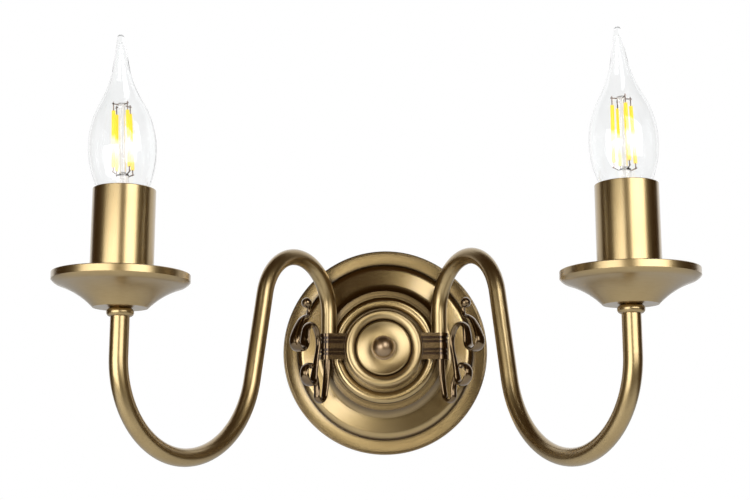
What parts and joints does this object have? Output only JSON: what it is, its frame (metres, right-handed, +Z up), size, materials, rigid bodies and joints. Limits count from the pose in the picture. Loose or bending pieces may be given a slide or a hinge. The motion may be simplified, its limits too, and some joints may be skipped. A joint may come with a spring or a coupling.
{
  "type": "double arm wall sconce",
  "caption": "Candle-style wall light with a turned round plate, curved tube arms, scrolls, drip pans, candle sleeves and clear flame-tip lamps.",
  "frame": {"origin": "centre of the wall plate and of the strap's two slots, on the wall's plane", "axes": "+Z up, +Y into the wall, -Y out into the room, +X to a viewer's right"},
  "size_m": [0.3272, 0.2054, 0.2253],
  "materials": {
    "satin_brass": "satin antique brass, brushed round the turned pieces",
    "dark_brass": "darker polished antique brass, cast",
    "bright_brass": "plain machined brass",
    "zinc_steel": "zinc plated",
    "black_plastic": "matt moulded",
    "white_plastic": "matt moulded",
    "lead_sheath": "smooth sheath",
    "nickel_cap": "nickel plated",
    "lamp_glass": "clear glass",
    "stem_glass": "clear glass",
    "filament": "yellow phosphor",
    "lamp_wire": "thin wire"
  },
  "bodies": {
    "root": {"wall_plate": "satin_brass", "stepped_ring": "satin_brass", "centre_cup": "satin_brass", "centre_stud": "zinc_steel", "hub_drum": "bright_brass", "mounting_strap": "zinc_steel", "terminal_block": "white_plastic", "terminal_inserts": "bright_brass", "terminal_screws": "zinc_steel", "block_screw": "zinc_steel", "earth_washer": "bright_brass", "earth_screw": "bright_brass", "strap_nut": "zinc_steel", "hub_nut": "zinc_steel", "arm_tube_left": "satin_brass", "arm_clasp_left": "dark_brass", "tail_nut_left": "bright_brass", "scroll_left": "dark_brass", "arm_lead_left": "lead_sheath", "collar_left": "satin_brass", "drip_pan_left": "satin_brass", "pan_nut_left": "bright_brass", "holder_base_left": "black_plastic", "holder_body_left": "black_plastic", "holder_shell_left": "bright_brass", "contact_tongue_left": "bright_brass", "arm_tube_right": "satin_brass", "arm_clasp_right": "dark_brass", "tail_nut_right": "bright_brass", "scroll_right": "dark_brass", "arm_lead_right": "lead_sheath", "collar_right": "satin_brass", "drip_pan_right": "satin_brass", "pan_nut_right": "bright_brass", "holder_base_right": "black_plastic", "holder_body_right": "black_plastic", "holder_shell_right": "bright_brass", "contact_tongue_right": "bright_brass"},
    "knob": {"ball_knob": "dark_brass"},
    "sleeve_left": {"candle_sleeve_left": "satin_brass"},
    "lamp_left": {"lamp_cap_left": "nickel_cap", "lamp_contact_left": "nickel_cap", "lamp_glass_left": "lamp_glass", "lamp_stem_left": "stem_glass", "filaments_left": "filament", "lamp_wires_left": "lamp_wire"},
    "sleeve_right": {"candle_sleeve_right": "satin_brass"},
    "lamp_right": {"lamp_cap_right": "nickel_cap", "lamp_contact_right": "nickel_cap", "lamp_glass_right": "lamp_glass", "lamp_stem_right": "stem_glass", "filaments_right": "filament", "lamp_wires_right": "lamp_wire"}
  },
  "joints": [
    {"name": "knob_turn", "type": "hinge", "parent": "root", "child": "knob", "pos_m": [0, -0.0337, 0], "axis": [0, -1, 0], "continuous": true},
    {"name": "sleeve_left_turn", "type": "hinge", "parent": "root", "child": "sleeve_left", "pos_m": [-0.12861, -0.17045, 0.05], "axis": [0, 0, 1], "continuous": true},
    {"name": "lamp_left_lift", "type": "slide", "parent": "root", "child": "lamp_left", "axis": [0, 0, 1], "range_m": [0, 0.055]},
    {"name": "sleeve_right_turn", "type": "hinge", "parent": "root", "child": "sleeve_right", "pos_m": [0.12861, -0.17045, 0.05], "axis": [0, 0, 1], "continuous": true},
    {"name": "lamp_right_lift", "type": "slide", "parent": "root", "child": "lamp_right", "axis": [0, 0, 1], "range_m": [0, 0.055]}
  ]
}
